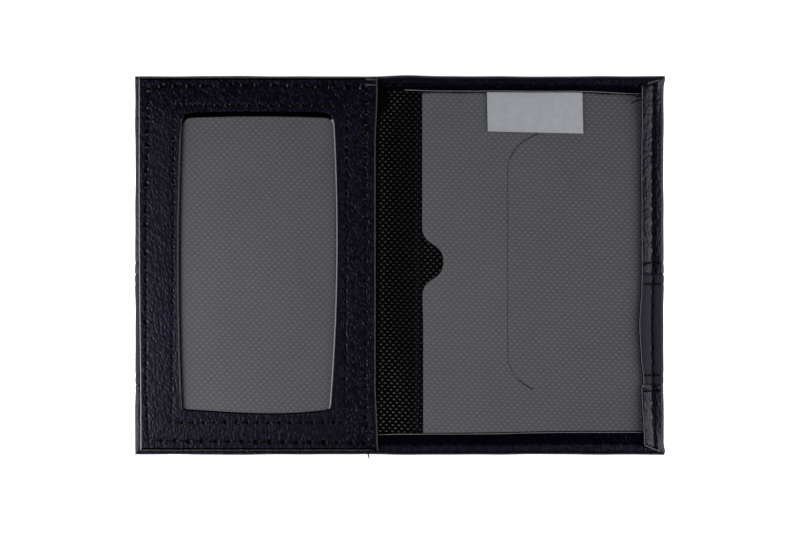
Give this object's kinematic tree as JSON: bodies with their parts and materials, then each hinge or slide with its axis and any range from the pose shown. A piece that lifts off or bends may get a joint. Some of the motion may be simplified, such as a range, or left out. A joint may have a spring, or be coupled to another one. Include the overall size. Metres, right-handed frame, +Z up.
{
  "type": "vehicle document holder",
  "caption": "Bifold holder for vehicle papers: turned-edge leatherette cover with a smooth band, woven lining, a window pocket and a clear pocket with thumb notch and card slit.",
  "frame": {"origin": "middle of the cover's underside, on the table, with the holder lying open and its inside up", "axes": "+X from the front half (window pocket) to the back half (clear pocket), +Y to the upper edge, +Z up out of the inside"},
  "size_m": [0.189, 0.135, 0.0049],
  "materials": {
    "grained_leatherette": "pebbled grain, satin",
    "smooth_leatherette": "smooth, slightly glossy",
    "woven_lining": "coarse plain weave, dull",
    "clear_film": "clear, slightly milky film",
    "label_satin": "woven satin",
    "stiffener_board": "grey-brown board",
    "sewing_thread": "twisted thread"
  },
  "bodies": {
    "back": {"back_cover_band": "smooth_leatherette", "back_cover_lower": "grained_leatherette", "back_cover_upper": "grained_leatherette", "back_edge_thread": "sewing_thread", "back_lining": "woven_lining", "back_row_lower_inner": "sewing_thread", "back_row_lower_outer": "sewing_thread", "back_row_upper_inner": "sewing_thread", "back_row_upper_outer": "sewing_thread", "back_stiffener": "stiffener_board", "clear_pocket": "clear_film", "label_tail": "label_satin"},
    "spine": {"spine_cover_band": "smooth_leatherette", "spine_cover_lower": "grained_leatherette", "spine_cover_upper": "grained_leatherette", "spine_edge_thread_lower": "sewing_thread", "spine_edge_thread_upper": "sewing_thread", "spine_lining": "woven_lining", "spine_row_lower_inner": "sewing_thread", "spine_row_lower_outer": "sewing_thread", "spine_row_upper_inner": "sewing_thread", "spine_row_upper_outer": "sewing_thread"},
    "front": {"bar_tack_lower": "sewing_thread", "bar_tack_upper": "sewing_thread", "front_cover_band": "smooth_leatherette", "front_cover_lower": "grained_leatherette", "front_cover_upper": "grained_leatherette", "front_edge_thread": "sewing_thread", "front_lining": "woven_lining", "front_row_lower_inner": "sewing_thread", "front_row_lower_outer": "sewing_thread", "front_row_upper_inner": "sewing_thread", "front_row_upper_outer": "sewing_thread", "front_stiffener": "stiffener_board", "pocket_mouth_thread": "sewing_thread", "window_film": "clear_film", "window_frame": "grained_leatherette", "window_thread": "sewing_thread"},
    "label": {"label": "label_satin"}
  },
  "joints": [
    {"name": "spine_fold", "type": "hinge", "parent": "back", "child": "spine", "pos_m": [0.004, 0, 0.0013], "axis": [0, 1, 0], "range_deg": [0, 90]},
    {"name": "front_fold", "type": "hinge", "parent": "spine", "child": "front", "pos_m": [-0.004, 0, 0.0013], "axis": [0, 1, 0], "range_deg": [0, 90]},
    {"name": "label_flip", "type": "hinge", "parent": "back", "child": "label", "pos_m": [0.0483, 0.0618, 0.00345], "axis": [-1, 0, 0], "range_deg": [0, 175]}
  ]
}
